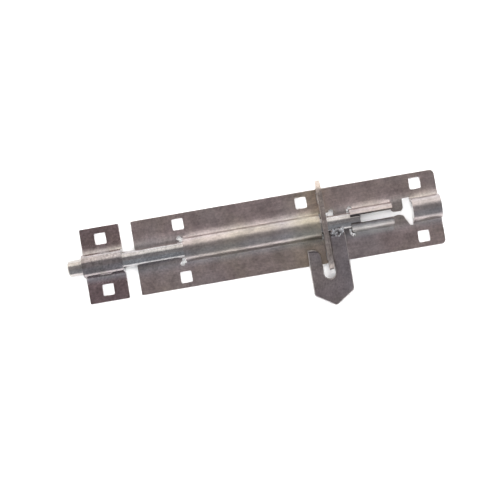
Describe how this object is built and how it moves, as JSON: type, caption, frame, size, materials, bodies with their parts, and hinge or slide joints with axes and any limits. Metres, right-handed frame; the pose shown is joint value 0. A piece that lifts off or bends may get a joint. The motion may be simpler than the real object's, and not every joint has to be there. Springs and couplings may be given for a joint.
{
  "type": "barrel bolt",
  "caption": "Sliding barrel bolt with a long pressed back plate, round bolt, hooked turning handle, upright padlock plate and a separate keep.",
  "frame": {"origin": "on the mounting face (z = 0), straight below the bolt's axis, 14 mm in from the nose edge of the back plate", "axes": "+X along the bolt from the keep to the tail, +Y in the plate away from the handle, +Z out of the door"},
  "size_m": [0.2476, 0.0823, 0.0215],
  "materials": {
    "plate_zinc": "bright zinc plate on pressed sheet, faintly mottled",
    "keep_zinc": "bright zinc plate on pressed sheet, faintly mottled",
    "rod_zinc": "bright zinc plate on drawn round bar, fine lines along its length",
    "locking_zinc": "zinc plate on sheared steel, slightly dull",
    "handle_zinc": "zinc plate on blanked steel, rolled upper edge",
    "weld_metal": "rippled weld bead under bright zinc plate"
  },
  "bodies": {
    "plate": {"back_plate": "plate_zinc", "keep_plate": "keep_zinc", "locking_plate": "locking_zinc"},
    "bolt": {"bolt_rod": "rod_zinc"},
    "lever": {"handle": "handle_zinc", "handle_weld": "weld_metal"}
  },
  "joints": [
    {"name": "bolt_slide", "type": "slide", "parent": "plate", "child": "bolt", "axis": [1, 0, 0], "range_m": [-0.0004, 0.0036]},
    {"name": "handle_turn", "type": "hinge", "parent": "bolt", "child": "lever", "pos_m": [0.12, 0, 0.0077], "axis": [-1, 0, 0], "range_deg": [0, 192]}
  ]
}
